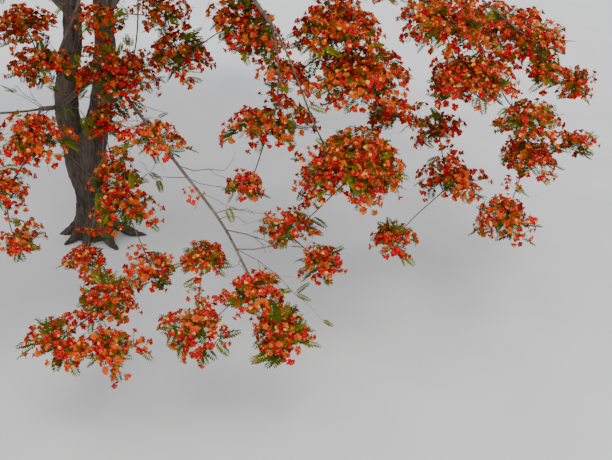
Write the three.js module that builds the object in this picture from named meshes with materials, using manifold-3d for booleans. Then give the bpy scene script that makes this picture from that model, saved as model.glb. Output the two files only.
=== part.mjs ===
// A flame tree in full bloom: a fluted trunk that forks low into two stems, boughs that arch out
// from the stems like the ribs of an umbrella, and masses of twigs with sprays of blossom and leaf.
// Millimetres, +Z up. The origin is the middle of the trunk's foot on the ground.
// +X is the viewer's right and +Y leads away from the viewer.
// Places are polar: a bearing in degrees counted from +X towards +Y, a distance out, a height up.

import * as THREE from 'three';
import { mergeVertices } from 'three/addons/utils/BufferGeometryUtils.js';
import Module from 'manifold-3d';

const wasm = await Module();
wasm.setup();

// The gap that is left where one piece of the tree is set against the next
const GAP = 0.3;
// The least distance between things that belong to different pieces
const CLEAR = 6;

// Trunk and stems: two limbs that run up side by side as the lobes of the trunk, with a flute
// between them, part at the fork and go on as the two stems. Each has its points and radii.
const LIMBS = {
  right: {
    lobe: [[110, 0, -80], [125, 0, 350], [150, 0, 700], [205, 0, 1050], [270, 0, 1500], [400, 0, 1880]],
    lobeRadii: [270, 245, 232, 228, 205, 178],
    stem: [[490, 0, 2130], [590, 0, 2500], [690, 0, 3050], [750, -10, 3600], [860, -30, 4250]],
    stemRadii: [160, 155, 152, 140, 112],
  },
  left: {
    lobe: [[20, 10, -80], [35, 15, 350], [45, 20, 700], [10, 20, 1050], [0, 20, 1500], [-8, 20, 1880]],
    lobeRadii: [250, 195, 160, 170, 175, 176],
    stem: [[-8, 20, 2130], [35, 25, 2450], [190, 45, 2950], [290, 90, 3500], [270, 170, 4150]],
    stemRadii: [174, 163, 146, 130, 105],
  },
};
const TRUNK_SIDES = 12;
const TRUNK_STEPS = 1;
const STEM_SIDES = 10;
const STEM_STEPS = 2;

// Roots of the flare: bearing, reach from the trunk's middle, radius where it leaves the trunk
const ROOTS = [
  [-50, 700, 105], [-6, 840, 100], [38, 560, 90], [84, 620, 100],
  [128, 520, 85], [172, 600, 105], [214, 540, 90], [262, 560, 95],
];
const ROOT_SIDES = 6;
const ROOT_STEPS = 1;
// How high a root leaves the trunk and how deep its end lies, before the cut at the ground
const ROOT_COURSE = [[0.1, 380], [0.42, 190], [0.7, 45], [1, -45], [1.12, -90]];
const ROOT_TAPER = [1.25, 1, 0.72, 0.5, 0.4];

// Boughs: the stem and the height on it where a bough starts, the tip, its radii at the butt and
// the tip, and the masses that its tip carries. A bough leads over the points of its way, or else
// it arches by so much over the straight line.
// A mass is a list of lobes: bearing, out, up, half its width, half its height.
const BOUGHS = [
  {
    stem: 'right', from: 2560, way: [[-57, 2250, 3000], [-59, 4020, 2650], [-57.5, 4740, 2200]],
    tip: [-58, 5300, 1900], butt: 25, end: 12,
    masses: [
      [[-59.5, 5750, 1950, 250, 250], [-57.8, 5900, 1450, 310, 370]],
      [[-65, 5360, 1500, 330, 310], [-59, 4450, 1700, 250, 210]],
    ],
  },
  {
    stem: 'right', from: 2290, tip: [-65, 2450, 2600], arch: 40, butt: 28, end: 14,
    masses: [
      [[-66, 2940, 2300, 240, 160], [-66, 3280, 2000, 320, 260], [-66, 4310, 1600, 280, 210]],
      [[-76, 3260, 1400, 190, 130], [-73, 4330, 1450, 380, 290], [-80, 4960, 1400, 280, 220],
        [-74, 5140, 1350, 300, 220]],
    ],
  },
  {
    stem: 'right', from: 2800, way: [[-63, 1500, 2920], [-76, 2330, 2960]],
    tip: [-80, 2780, 3100], butt: 48, end: 24,
    masses: [
      [[-81, 3140, 2900, 360, 290], [-87, 3560, 2500, 160, 150], [-86, 3590, 1900, 250, 170]],
      [[-98, 4000, 3350, 560, 360], [-112, 4300, 4200, 640, 380]],
    ],
  },
  {
    stem: 'left', from: 3560, way: [[-57, 1500, 4450], [-65, 2250, 4150]],
    tip: [-73, 2430, 3650], butt: 32, end: 15,
    masses: [[[-78, 2460, 3500, 350, 270], [-82, 2170, 3900, 330, 260]]],
  },
  {
    stem: 'right', from: 3300, tip: [-50, 2500, 4250], arch: 420, butt: 44, end: 23,
    masses: [
      [[-59, 2430, 3230, 420, 400], [-63, 2440, 2750, 240, 160], [-59, 3620, 2780, 400, 240]],
      [[-44, 2610, 3900, 330, 200], [-53, 1570, 3750, 330, 170], [-46, 2910, 3500, 470, 290],
        [-42, 3810, 3900, 440, 330], [-40, 3900, 3650, 250, 220]],
      [[-60, 4000, 5450, 700, 420], [-78, 3500, 5450, 640, 420]],
    ],
  },
  {
    stem: 'right', from: 3820, tip: [-45, 4450, 4050], arch: 800, butt: 46, end: 20,
    masses: [
      [[-42, 4080, 2800, 440, 280], [-48, 4120, 2200, 150, 110]],
      [[-40, 5160, 2500, 590, 460], [-46.5, 4660, 1800, 270, 300], [-47, 5260, 1600, 250, 240],
        [-34.5, 5150, 2200, 220, 210]],
    ],
  },
  {
    stem: 'right', tip: [-33, 4350, 4650], arch: 800, butt: 66, end: 28,
    masses: [
      [[-32.5, 4640, 3800, 560, 370], [-34, 4940, 3300, 560, 370], [-38, 4150, 3300, 230, 200]],
      [[-29, 5120, 2800, 290, 210], [-24, 5530, 2500, 290, 210], [-25, 5770, 1900, 360, 280],
        [-37, 5540, 1600, 250, 190]],
      [[-41, 4200, 5500, 720, 420], [-22, 4400, 5400, 720, 420], [-40, 2700, 6000, 720, 420]],
    ],
  },
  {
    stem: 'right', from: 4060, tip: [-23, 5350, 4400], arch: 850, butt: 50, end: 26,
    masses: [
      [[-26, 5620, 3800, 480, 370], [-27.3, 5990, 3200, 480, 350]],
      [[-17, 6570, 3400, 210, 160], [-17.5, 6650, 3000, 210, 210], [-15, 7070, 2800, 220, 190]],
      [[-21, 6570, 2600, 440, 260], [-21, 6570, 2100, 400, 190], [-18.5, 7090, 2200, 190, 160],
        [-28.6, 6530, 1700, 310, 300]],
    ],
  },
];

// Boughs of the sides and the back, one every few degrees, each with a low and a high mass
const ROUND = {
  first: 3, step: 36, count: 8,
  starts: [3450, 3880, 3600, 3750],
  out: 4500, up: 4500, arch: 950, butt: 56, end: 24,
  low: [[-9, 6200, 3050, 820, 430], [9, 5850, 3950, 780, 430]],
  high: [[-9, 4750, 5100, 740, 420], [9, 4450, 5050, 720, 420], [-1, 2950, 5950, 720, 420]],
  lastOnRightStem: 95,
};

// The leader that carries the top of the crown
const LEADER = {
  stem: 'left', tip: [110, 350, 5350], arch: 0, butt: 76, end: 28,
  masses: [
    [[-60, 1300, 6300, 720, 400], [15, 1350, 6400, 720, 400], [0, 150, 6850, 640, 360]],
    [[95, 1500, 6350, 720, 400], [190, 1450, 6350, 720, 400], [255, 1600, 6200, 640, 380]],
  ],
};
const BOUGH_SIDES = 6;
const BOUGH_STEPS = 2;
// How far a bough wanders off its arch, as a share of its length
const WANDER = 0.022;

// Twigs: three-sided. A shoot runs from the bough's tip to the hub of each lobe, and twigs fork
// from small knuckles there. The knuckles are eight-faced, and each face can carry one twig.
const SHOOT_STEPS = 3;
const SHOOT_RADIUS = { taper: 0.75, least: 8 };
// The radius of a mass's root as a share of its bough's end, where that carries 1, 2 or 3 masses
const ROOT_SHARE = [0.8, 0.55, 0.42];
const HUB_RADIUS = 20;
const FORK_RADIUS = 14;
const TWIG_RADIUS = 7;
// How squarely a twig has to leave the face that carries it, as a cosine
const LEAVING = 0.3;
// How many faces are tried for one twig
const TRIES = 12;
// One spray for each patch of this size on a lobe, in square millimetres
const SPRAY_PATCH = 330000;
const SPRAYS = { least: 3, most: 10 };
// Half the length, width and thickness of a spray of blossom and of a spray of leaves,
// on a lobe whose half width is SPRAY_LOBE: those of larger lobes are larger
const BLOSSOM = [180, 170, 85];
const LEAVES = [250, 140, 14];
const SPRAY_LOBE = 500;
const SPRAY_SCALE = { least: 0.75, most: 1.4 };
const LEAF_SHARE = 0.4;
const SEED = 4157;
const SEEDS_APART = 8;

// A seeded source of numbers from 0 to 1
function makeRandom(seed) {
  let state = seed >>> 0;
  return () => {
    state = (state + 0x6d2b79f5) >>> 0;
    let mixed = state;
    mixed = Math.imul(mixed ^ (mixed >>> 15), mixed | 1);
    mixed ^= mixed + Math.imul(mixed ^ (mixed >>> 7), mixed | 61);
    return ((mixed ^ (mixed >>> 14)) >>> 0) / 4294967296;
  };
}

function polar(bearing, out, up) {
  const angle = THREE.MathUtils.degToRad(bearing);
  return new THREE.Vector3(out * Math.cos(angle), out * Math.sin(angle), up);
}

const UP = new THREE.Vector3(0, 0, 1);
const TRUNK_MIDDLE = new THREE.Vector3(90, 5, 0);

// The level direction across a heading, and the one square to both that looks up
function crossAxes(heading) {
  const level = Math.abs(heading.z) > 0.999 ? new THREE.Vector3(0, 1, 0) : UP;
  const across = level.clone().cross(heading).normalize();
  return { across, face: heading.clone().cross(across) };
}

// The closed tube along a line, with flat ends
function tube({ points, radii, along }, sides) {
  const positions = [];
  const indices = [];
  const last = points.length - 1;
  const side = new THREE.Vector3(1, 0, 0);
  if (Math.abs(along[0].x) > 0.8) side.set(0, 1, 0);
  points.forEach((point, i) => {
    side.addScaledVector(along[i], -side.dot(along[i])).normalize();
    const other = along[i].clone().cross(side);
    for (let k = 0; k < sides; k += 1) {
      const angle = (2 * Math.PI * k) / sides;
      const spoke = side.clone().multiplyScalar(Math.cos(angle)).addScaledVector(other, Math.sin(angle));
      positions.push(...point.clone().addScaledVector(spoke, radii[i]).toArray());
    }
  });
  for (let i = 0; i < last; i += 1) {
    for (let k = 0; k < sides; k += 1) {
      const a = i * sides + k;
      const b = i * sides + ((k + 1) % sides);
      indices.push(a, b, b + sides, a, b + sides, a + sides);
    }
  }
  for (let k = 1; k < sides - 1; k += 1) {
    indices.push(0, k + 1, k);
    indices.push(last * sides, last * sides + k, last * sides + k + 1);
  }
  const geometry = new THREE.BufferGeometry();
  geometry.setAttribute('position', new THREE.Float32BufferAttribute(positions, 3));
  geometry.setIndex(indices);
  return geometry;
}

// A geometry's solid, joined at its corners
function toSolid(source) {
  const geometry = source.clone();
  geometry.deleteAttribute('normal');
  geometry.deleteAttribute('uv');
  const merged = mergeVertices(geometry, 1e-3);
  return new wasm.Manifold(new wasm.Mesh({
    numProp: 3,
    vertProperties: new Float32Array(merged.attributes.position.array),
    triVerts: new Uint32Array(merged.index.array),
  }));
}

function toGeometry(solid) {
  const mesh = solid.getMesh();
  const geometry = new THREE.BufferGeometry();
  geometry.setAttribute('position', new THREE.Float32BufferAttribute(mesh.vertProperties, 3));
  geometry.setIndex(Array.from(mesh.triVerts));
  geometry.computeVertexNormals();
  return geometry;
}

// The largest body of a solid: loose scraps and sealed hollows are left behind
function mainBody(solid) {
  const bodies = solid.decompose();
  return bodies.reduce((best, body) => (body.volume() > best.volume() ? body : best));
}

function join(solids) {
  return solids.reduce((whole, solid) => whole.add(solid));
}

// The smooth line through a limb's points from one of them to another: in even steps from each
// point to the next, with the radius and the heading at each step
function limbLine(points, radii, stepsBetween, first = 0, last = points.length - 1) {
  const curve = new THREE.CatmullRomCurve3(points.map((p) => new THREE.Vector3(...p)), false, 'centripetal');
  const line = { points: [], radii: [], along: [] };
  for (let i = 0; i <= (last - first) * stepsBetween; i += 1) {
    const place = first + i / stepsBetween;
    const before = Math.min(Math.floor(place), points.length - 2);
    line.points.push(curve.getPoint(place / (points.length - 1)));
    line.along.push(curve.getTangent(place / (points.length - 1)));
    line.radii.push(THREE.MathUtils.lerp(radii[before], radii[before + 1], place - before));
  }
  return line;
}

const endOf = (list) => list[list.length - 1];

// The same line a little thicker, for the cut that leaves the gap round it
function grown(line, by) {
  return { ...line, radii: line.radii.map((radius) => radius + by) };
}

function lineSolid(line, sides) {
  return toSolid(tube(line, sides));
}

// Everything that later pieces keep clear of: short round lengths with their owner's name.
// A length counts for other owners, for its own, or for both.
const taken = [];

function take(owner, from, to, radius, countsFor = 'others') {
  taken.push({ owner, from, to, radius, countsFor });
}

function takeLine(owner, line) {
  for (let i = 1; i < line.points.length; i += 1) {
    take(owner, line.points[i - 1], line.points[i], Math.max(line.radii[i - 1], line.radii[i]));
  }
}

// The distance between two straight lengths
function lengthsApart(a0, a1, b0, b1) {
  const u = a1.clone().sub(a0);
  const v = b1.clone().sub(b0);
  const w = a0.clone().sub(b0);
  const uu = u.dot(u);
  const uv = u.dot(v);
  const vv = v.dot(v);
  const uw = u.dot(w);
  const vw = v.dot(w);
  const spread = uu * vv - uv * uv;
  let s = spread > 1e-9 * uu * vv ? THREE.MathUtils.clamp((uv * vw - vv * uw) / spread, 0, 1) : 0;
  const t = THREE.MathUtils.clamp((uv * s + vw) / vv, 0, 1);
  s = THREE.MathUtils.clamp((uv * t - uw) / uu, 0, 1);
  return w.addScaledVector(u, s).addScaledVector(v, -t).length();
}

// Whether a length stays clear of what belongs to others, or of what belongs to its owner
function isClear(owner, from, to, radius, of) {
  return taken.every((other) => {
    const counts = other.countsFor === 'both' || other.countsFor === of;
    return !counts || (other.owner === owner) !== (of === 'own')
      || lengthsApart(from, to, other.from, other.to) > radius + other.radius + CLEAR;
  });
}

const barkMaterial = new THREE.MeshStandardMaterial({ color: 0x4b4238, roughness: 0.95, metalness: 0 });
const limbMaterial = new THREE.MeshStandardMaterial({ color: 0x6b6055, roughness: 0.9, metalness: 0 });
const bloomMaterial = new THREE.MeshStandardMaterial({ color: 0xc8401c, roughness: 0.7, metalness: 0 });

const group = new THREE.Group();

function addPiece(name, geometry, material) {
  const mesh = new THREE.Mesh(geometry, material);
  mesh.name = name;
  group.add(mesh);
}

// A limb's points and radii from the ground to the stem's top, and the place of the fork in them
function wholeLimb({ lobe, lobeRadii, stem, stemRadii }) {
  return { points: [...lobe, ...stem], radii: [...lobeRadii, ...stemRadii], fork: lobe.length };
}

// Trunk: both lobes and the roots of the flare, cut flat at the ground
function makeTrunk() {
  const lobes = Object.values(LIMBS).map((limb) => {
    const { points, radii, fork } = wholeLimb(limb);
    return limbLine(points, radii, TRUNK_STEPS, 0, fork);
  });
  const roots = ROOTS.map(([bearing, reach, radius]) => {
    const points = ROOT_COURSE.map(([share, up]) => (
      polar(bearing, reach * share, up).add(TRUNK_MIDDLE).toArray()));
    return limbLine(points, ROOT_TAPER.map((share) => radius * share), ROOT_STEPS);
  });
  const solids = [
    ...lobes.map((line) => lineSolid(line, TRUNK_SIDES)),
    ...roots.map((line) => lineSolid(line, ROOT_SIDES)),
  ];
  const earth = new THREE.BoxGeometry(4000, 4000, 1000).translate(0, 0, -500);
  [...lobes, ...roots].forEach((line) => takeLine('trunk', line));
  addPiece('trunk', toGeometry(mainBody(join(solids).subtract(toSolid(earth)))), barkMaterial);
}

// Stems, each set on its lobe of the trunk
function makeStem(side) {
  const { points, radii, fork } = wholeLimb(LIMBS[side]);
  const line = limbLine(points, radii, STEM_STEPS, fork);
  line.points[0].addScaledVector(line.along[0], GAP);
  takeLine(`stem_${side}`, line);
  addPiece(`stem_${side}`, toGeometry(lineSolid(line, STEM_SIDES)), barkMaterial);
  return line;
}

// The point of a line at a height
function pointAt(line, height) {
  const above = line.points.findIndex((point) => point.z > height);
  const [low, high] = [line.points[above - 1], line.points[above]];
  return low.clone().lerp(high, (height - low.z) / (high.z - low.z));
}

// A bough: an arch from its stem to its tip that wanders a little on the way
function boughLine(bough, stemLine, random) {
  const tip = polar(...bough.tip);
  const top = endOf(stemLine.points);
  const rise = endOf(stemLine.along);
  const start = bough.from ? pointAt(stemLine, bough.from) : top.clone().addScaledVector(rise, GAP);
  const run = tip.clone().sub(start);
  const off = 2 * run.length() * WANDER;
  const arched = (share) => start.clone().addScaledVector(run, share)
    .addScaledVector(UP, bough.arch * 4 * share * (1 - share))
    .addScaledVector(new THREE.Vector3(random() - 0.5, random() - 0.5, random() - 0.5), off);
  const between = bough.way ? bough.way.map((place) => polar(...place)) : [0.22, 0.45, 0.7].map(arched);
  const bends = [start, ...between, tip];
  if (!bough.from) bends.splice(1, 0, start.clone().addScaledVector(rise, bough.butt * 2));
  const { butt, end } = bough;
  const radii = bends.map((point, i) => butt + (end - butt) * (i / (bends.length - 1)) ** 0.8);
  const line = limbLine(bends.map((point) => point.toArray()), radii, BOUGH_STEPS);
  if (!bough.from) line.along[0].copy(rise);
  return line;
}

// A mass is one closed skin that grows outwards: rings of corners joined by strips of triangles

function addCorners(body, points) {
  return points.map((point) => body.corners.push(point) - 1);
}

// The direction from the middle of a ring to its first corner
function sideOf(body, ring) {
  const [first, ...others] = ring.map((corner) => body.corners[corner]);
  const middle = others.reduce((sum, corner) => sum.add(corner), first.clone()).divideScalar(ring.length);
  return first.clone().sub(middle);
}

// Three corners round a point, square to a heading, the first on a side of it or turned from there
function triangleRound(point, heading, radius, side, turn = 0) {
  const across = side.clone().addScaledVector(heading, -side.dot(heading)).normalize();
  const face = heading.clone().cross(across);
  return [0, 1, 2].map((k) => {
    const angle = turn + (k * 2 * Math.PI) / 3;
    return point.clone().addScaledVector(across, radius * Math.cos(angle))
      .addScaledVector(face, radius * Math.sin(angle));
  });
}

// Joins two rings that run the same way round by a strip of triangles, with as little twist as
// there can be. The far ring may be a single corner.
function bridge(body, near, far) {
  const side = sideOf(body, near);
  const start = far.reduce((best, corner, i) => (
    body.corners[corner].dot(side) > body.corners[far[best]].dot(side) ? i : best), 0);
  const turned = [...far.slice(start), ...far.slice(0, start)];
  let i = 0;
  let j = 0;
  while (i < near.length || (far.length > 1 && j < far.length)) {
    const a = near[i % near.length];
    const b = turned[j % turned.length];
    const farDone = far.length === 1 || j === far.length;
    if (farDone || (i < near.length && (i + 1) / near.length <= (j + 1) / far.length)) {
      body.triangles.push([a, near[(i + 1) % near.length], b]);
      i += 1;
    } else {
      body.triangles.push([a, turned[(j + 1) % turned.length], b]);
      j += 1;
    }
  }
}

// A knuckle at the end of a twig: eight faces, of which the first is where the twig comes in
function addKnuckle(body, ring, centre, heading, radius) {
  const depth = heading.clone().multiplyScalar(radius * 0.7);
  const side = sideOf(body, ring);
  const back = addCorners(body, triangleRound(centre.clone().sub(depth), heading, radius, side));
  const ahead = centre.clone().add(depth);
  const front = addCorners(body, triangleRound(ahead, heading, radius, side, -Math.PI / 3));
  bridge(body, ring, back);
  const rings = [
    front,
    [back[0], back[1], front[1]], [back[1], back[2], front[2]], [back[2], back[0], front[0]],
    [back[0], front[1], front[0]], [back[1], front[2], front[1]], [back[2], front[0], front[2]],
  ];
  const faces = rings.map((corners) => {
    const [a, b, c] = corners.map((corner) => body.corners[corner]);
    return { corners, normal: b.clone().sub(a).cross(c.clone().sub(a)).normalize(), used: false };
  });
  const knuckle = { centre, faces };
  body.knuckles.push(knuckle);
  return knuckle;
}

// The free faces that look towards a place, of the knuckles nearest to it first
function facesTowards(knuckles, place) {
  const nearest = [...knuckles].sort((a, b) => a.centre.distanceTo(place) - b.centre.distanceTo(place));
  return nearest.flatMap((knuckle) => {
    const heading = place.clone().sub(knuckle.centre).normalize();
    return knuckle.faces
      .filter((face) => !face.used && face.normal.dot(heading) > LEAVING)
      .sort((a, b) => b.normal.dot(heading) - a.normal.dot(heading))
      .map((face) => ({ knuckle, face }));
  }).slice(0, TRIES);
}

// The triangles of a body, with the faces of its knuckles that carry nothing
function skinOf({ triangles, knuckles }, since = { triangles: 0, knuckles: 0 }) {
  const bare = knuckles.slice(since.knuckles).flatMap(({ faces }) => faces.filter((face) => !face.used));
  return [...triangles.slice(since.triangles), ...bare.map((face) => face.corners)];
}

// Whether an edge of one triangle passes through another that it doesn't share a corner with
function pierces(body, edges, through) {
  const [a, b, c] = through.map((corner) => body.corners[corner]);
  return edges.some((start, i) => {
    const end = edges[(i + 1) % 3];
    if (through.includes(start) || through.includes(end)) return false;
    const from = body.corners[start];
    const run = body.corners[end].clone().sub(from);
    const hit = new THREE.Ray(from, run).intersectTriangle(a, b, c, false, new THREE.Vector3());
    return hit !== null && hit.distanceTo(from) < run.length();
  });
}

// Whether what has grown on a body since a moment crosses itself or the rest of the body
function crosses(body, since) {
  const boxOf = (corners) => new THREE.Box3().setFromPoints(corners.map((corner) => body.corners[corner]));
  const fresh = skinOf(body, since);
  const room = boxOf(fresh.flat());
  const close = skinOf(body).filter((triangle) => boxOf(triangle).intersectsBox(room));
  return fresh.some((triangle) => {
    const box = boxOf(triangle);
    return close.some((other) => boxOf(other).intersectsBox(box)
      && (pierces(body, triangle, other) || pierces(body, other, triangle)));
  });
}

// Grows something on the first of some faces on which it doesn't cross the rest of the body, and
// returns what has grown, or null. What crosses is taken off again.
function growOn(body, faces, grow) {
  for (const { knuckle, face } of faces) {
    const since = Object.fromEntries(Object.entries(body).map(([part, list]) => [part, list.length]));
    face.used = true;
    const result = grow(knuckle, face);
    if (result && !crosses(body, since)) return result;
    face.used = false;
    Object.entries(since).forEach(([part, length]) => { body[part].length = length; });
  }
  return null;
}

// A shoot's way: it keeps its first heading for a while and comes to the hub from a little above
function shootPoints(from, heading, hub) {
  const reach = from.distanceTo(hub);
  const level = hub.clone().sub(from).setZ(0).normalize();
  const curve = new THREE.CubicBezierCurve3(
    from,
    from.clone().addScaledVector(heading, reach * 0.35),
    hub.clone().addScaledVector(UP, reach * 0.15).addScaledVector(level, -reach * 0.25),
    hub,
  );
  return curve.getPoints(SHOOT_STEPS);
}

// Where the twigs of a lobe start: under its middle
function hubOf([bearing, out, up, , tall]) {
  return polar(bearing, out, up - tall * 0.25);
}

// Grows a shoot from a ring to a hub, with the knuckle there
function addShoot(body, ring, points, radius) {
  let last = ring;
  for (let k = 1; k < SHOOT_STEPS; k += 1) {
    const along = points[k + 1].clone().sub(points[k - 1]).normalize();
    const thinner = radius * (1 - (0.3 * k) / SHOOT_STEPS);
    const next = addCorners(body, triangleRound(points[k], along, thinner, sideOf(body, last)));
    bridge(body, last, next);
    last = next;
  }
  const arrival = points[SHOOT_STEPS].clone().sub(points[SHOOT_STEPS - 1]).normalize();
  addKnuckle(body, last, points[SHOOT_STEPS], arrival, HUB_RADIUS);
  return points;
}

// Notes the room that the last shoot takes and the hub that it leads to
function noteShoot(mass, lobe, points, radius) {
  points.slice(1).forEach((point, k) => take(mass.name, points[k], point, radius));
  mass.hubs.push({ lobe, knuckle: endOf(mass.body.knuckles) });
}

// The first shoot of a mass grows from the bough's tip
function makeFirstShoot(mass) {
  const { body, root, heading, radius } = mass;
  const [lobe] = mass.lobes;
  const ring = addCorners(body, triangleRound(root, heading, radius, crossAxes(heading).face));
  body.triangles.push([ring[0], ring[2], ring[1]]);
  noteShoot(mass, lobe, addShoot(body, ring, shootPoints(root, heading, hubOf(lobe)), radius), radius);
}

// The later shoots each grow from a hub near theirs, clear of the other masses
function makeLaterShoots(mass) {
  const { body, lobes } = mass;
  lobes.slice(1).forEach((lobe, i) => {
    const hub = hubOf(lobe);
    const radius = Math.max(mass.radius * SHOOT_RADIUS.taper ** (i + 1), SHOOT_RADIUS.least);
    const points = growOn(body, facesTowards(body.knuckles, hub), (knuckle, face) => {
      const way = shootPoints(knuckle.centre, face.normal, hub);
      const isFree = way.slice(1).every((point, k) => isClear(mass.name, way[k], point, radius, 'others'));
      return isFree ? addShoot(body, face.corners, way, radius) : null;
    });
    if (points) noteShoot(mass, lobe, points, radius);
  });
}

// A spray on its twig: a neck, a flat belly of four corners and a tip
function addSpray(body, ring, place, heading, [long, wide, thick]) {
  const { across, face } = crossAxes(heading);
  const neck = place.clone().addScaledVector(heading, -long * 0.92);
  const belly = [[across, wide], [face, thick], [across, -wide], [face, -thick]]
    .map(([way, reach]) => place.clone().addScaledVector(way, reach));
  const neckRing = addCorners(body, triangleRound(neck, heading, TWIG_RADIUS, sideOf(body, ring)));
  const bellyRing = addCorners(body, belly);
  const tip = addCorners(body, [place.clone().addScaledVector(heading, long)]);
  bridge(body, ring, neckRing);
  bridge(body, neckRing, bellyRing);
  bridge(body, bellyRing, tip);
}

// The forks of a lobe: knuckles spread round its hub, each on a short twig
function makeForks(mass, hubKnuckle, lobe, count, turn, random) {
  const [, , , wide, tall] = lobe;
  const forks = [];
  for (let k = 0; k < count; k += 1) {
    const angle = turn + (2 * Math.PI * k) / count;
    const reach = wide * (0.34 + 0.12 * random());
    const way = new THREE.Vector3(reach * Math.cos(angle), reach * Math.sin(angle), tall * 0.25);
    const centre = hubKnuckle.centre.clone().add(way);
    if (!isClear(mass.name, hubKnuckle.centre, centre, FORK_RADIUS, 'others')) continue;
    const fork = growOn(mass.body, facesTowards([hubKnuckle], centre), (hub, face) => (
      addKnuckle(mass.body, face.corners, centre, way.clone().normalize(), FORK_RADIUS)));
    if (!fork) continue;
    take(mass.name, hubKnuckle.centre, centre, FORK_RADIUS);
    take(mass.name, hubKnuckle.centre.clone().addScaledVector(way, 0.25), centre, FORK_RADIUS, 'own');
    forks.push(fork);
  }
  return forks;
}

// The sprays of one lobe, spread over it by the golden angle, most of them above. Each twig leaves
// the nearest knuckle that has a face for it. One that would touch anything else is skipped.
function makeLobe(mass, lobe, hubKnuckle, random) {
  const [bearing, out, up, wide, tall] = lobe;
  const centre = polar(bearing, out, up);
  const scale = THREE.MathUtils.clamp(wide / SPRAY_LOBE, SPRAY_SCALE.least, SPRAY_SCALE.most);
  const patches = (4 * wide * wide + 8 * wide * tall) / SPRAY_PATCH;
  const count = THREE.MathUtils.clamp(Math.round(patches), SPRAYS.least, SPRAYS.most);
  const turn = random() * 2 * Math.PI;
  const forks = makeForks(mass, hubKnuckle, lobe, Math.max(2, Math.round(count / 2.5)), turn, random);
  let sprays = 0;
  for (let k = 0; k < count * 3 && sprays < count; k += 1) {
    const level = 0.95 - 1.5 * ((k * 0.618) % 1);
    const angle = turn + k * 2.39996 + (random() - 0.5) * 0.5;
    const swell = 0.9 + 0.14 * random();
    const flat = Math.sqrt(1 - level * level) * swell;
    const isLeaf = random() < LEAF_SHARE;
    const size = (isLeaf ? LEAVES : BLOSSOM).map((half) => half * scale);
    const room = Math.max(wide - size[0] * 0.7, wide * 0.4);
    const height = Math.max(tall - size[2] * 0.8, tall * 0.4);
    const place = centre.clone().add(new THREE.Vector3(
      room * flat * Math.cos(angle),
      room * flat * Math.sin(angle),
      height * level * swell,
    ));
    const heading = place.clone().sub(hubKnuckle.centre).normalize();
    heading.z = heading.z * 0.5 + (isLeaf ? -0.12 : 0.12);
    heading.normalize();
    const neck = place.clone().addScaledVector(heading, -size[0] * 0.92);
    const half = heading.clone().multiplyScalar(size[0] * 0.5);
    const ends = [place.clone().sub(half), place.clone().add(half)];
    const bulk = size[1] * 0.5;
    const aside = crossAxes(heading).across.multiplyScalar(size[1] * 0.85);
    const sides = [place.clone().sub(aside), place.clone().add(aside)];
    const isRoomy = isClear(mass.name, ...ends, bulk, 'own') && isClear(mass.name, ...ends, bulk, 'others')
      && isClear(mass.name, ...sides, size[2], 'others');
    if (!isRoomy) continue;
    const carrier = growOn(mass.body, facesTowards([...forks, hubKnuckle], place), (knuckle, face) => {
      const outer = knuckle.centre.clone().lerp(neck, 0.3);
      if (!isClear(mass.name, knuckle.centre, neck, TWIG_RADIUS, 'others')) return null;
      if (!isClear(mass.name, outer, neck, TWIG_RADIUS, 'own')) return null;
      addSpray(mass.body, face.corners, place, heading, size);
      return knuckle;
    });
    if (!carrier) continue;
    take(mass.name, carrier.centre, neck, TWIG_RADIUS);
    take(mass.name, carrier.centre.clone().lerp(neck, 0.3), neck, TWIG_RADIUS, 'own');
    take(mass.name, ...ends, bulk, 'both');
    take(mass.name, ...sides, size[2]);
    sprays += 1;
  }
}

// Closes the faces that carry nothing and gives the skin its geometry
function closeBody(body) {
  const geometry = new THREE.BufferGeometry();
  const positions = body.corners.flatMap((corner) => corner.toArray());
  geometry.setAttribute('position', new THREE.Float32BufferAttribute(positions, 3));
  geometry.setIndex(skinOf(body).flat());
  geometry.computeVertexNormals();
  return geometry;
}

makeTrunk();
const stemLines = { left: makeStem('left'), right: makeStem('right') };
const stemSolids = Object.fromEntries(Object.entries(stemLines)
  .map(([name, line]) => [name, lineSolid(grown(line, GAP), STEM_SIDES)]));

// All boughs in order: those of the front, those of the sides and back, and the leader
function allBoughs() {
  const boughs = [...BOUGHS];
  for (let i = 0; i < ROUND.count; i += 1) {
    const bearing = ROUND.first + i * ROUND.step;
    boughs.push({
      stem: bearing < ROUND.lastOnRightStem ? 'right' : 'left',
      from: ROUND.starts[i % ROUND.starts.length],
      tip: [bearing, ROUND.out, ROUND.up],
      arch: ROUND.arch,
      butt: ROUND.butt,
      end: ROUND.end,
      masses: [ROUND.low, ROUND.high].map((lobes) => lobes
        .map(([turn, ...sizes]) => [bearing + turn, ...sizes])),
    });
  }
  return [...boughs, LEADER];
}

// Where the masses of a bough leave its tip: evenly round it, in the order in which they lie, each
// heading halfway between the bough and its own first hub
function rootsAt(line, bough) {
  const tip = endOf(line.points);
  const heading = endOf(line.along);
  const { across, face } = crossAxes(heading);
  const turned = bough.masses.map((lobes) => {
    const way = hubOf(lobes[0]).sub(tip);
    const lean = way.clone().normalize().add(heading).normalize();
    return { lobes, lean, angle: Math.atan2(way.dot(face), way.dot(across)) };
  }).sort((a, b) => a.angle - b.angle);
  const count = turned.length;
  const off = count > 1 ? bough.end * 0.64 : 0;
  const radius = bough.end * ROOT_SHARE[count - 1];
  return turned.map(({ lobes, lean }, k) => {
    const angle = turned[0].angle + (2 * Math.PI * k) / count;
    const tilt = heading.clone().cross(lean).length();
    const root = tip.clone().addScaledVector(heading, GAP + radius * tilt)
      .addScaledVector(across, off * Math.cos(angle)).addScaledVector(face, off * Math.sin(angle));
    return { lobes, root, radius, heading: lean };
  });
}

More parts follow.
